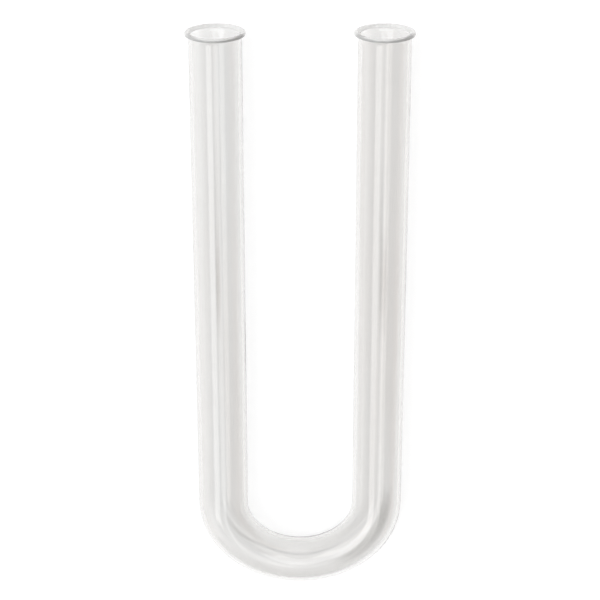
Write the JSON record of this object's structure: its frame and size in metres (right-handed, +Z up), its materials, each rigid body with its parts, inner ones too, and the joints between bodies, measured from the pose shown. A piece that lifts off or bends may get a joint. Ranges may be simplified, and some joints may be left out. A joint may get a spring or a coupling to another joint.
{
  "type": "drying tube",
  "caption": "U-shaped drying tube of clear glass tubing, with parallel straight arms, a smooth half-round bend and flared, fire-polished open mouths.",
  "frame": {"origin": "on the bench, under the middle of the tube as it lies on its side", "axes": "+Y along the arms, from the bend to the open mouths; +Z up from the bench; +X from the left arm to the right arm, seen from above with the mouths at the top"},
  "size_m": [0.073, 0.2, 0.0195],
  "materials": {
    "clear_glass": "polished"
  },
  "bodies": {
    "root": {"u_tube": "clear_glass"}
  },
  "joints": []
}
